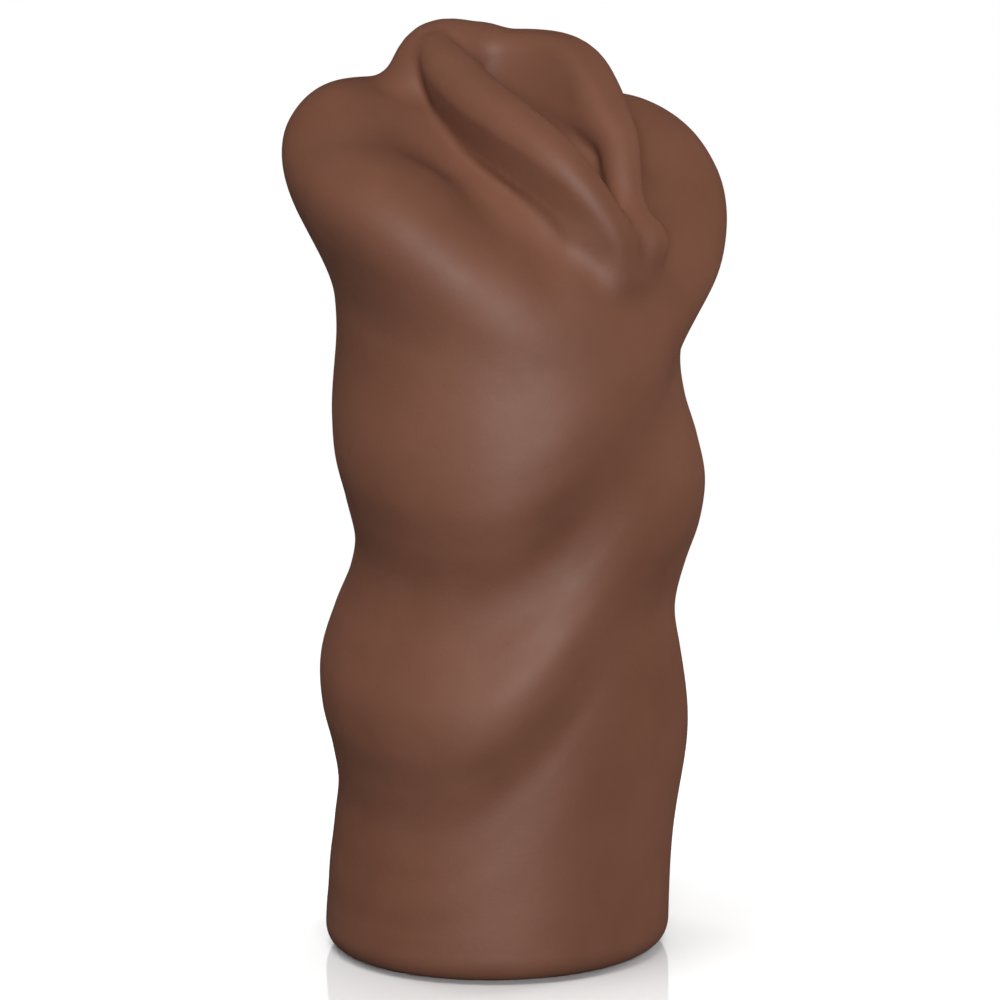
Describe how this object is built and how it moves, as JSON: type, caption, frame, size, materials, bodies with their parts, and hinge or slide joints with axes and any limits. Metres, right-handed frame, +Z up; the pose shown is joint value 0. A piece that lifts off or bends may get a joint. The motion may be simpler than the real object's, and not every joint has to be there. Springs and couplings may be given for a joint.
{
  "type": "adult novelty sleeve",
  "caption": "Adult product: hand-held soft elastomer sleeve with a rippled grip body, flared folded mouth end, ribbed inner canal and flat base.",
  "frame": {"origin": "centre of the flat base, on the surface it stands on", "axes": "+Z up along the grip to the mouth end; -Y the front, where the mouth end dips; +X the side of the taller fold"},
  "size_m": [0.0747, 0.0648, 0.1516],
  "materials": {
    "outer_elastomer": "matte",
    "liner_elastomer": "matte"
  },
  "bodies": {
    "root": {"outer_sleeve": "outer_elastomer", "canal_liner": "liner_elastomer"}
  },
  "joints": []
}
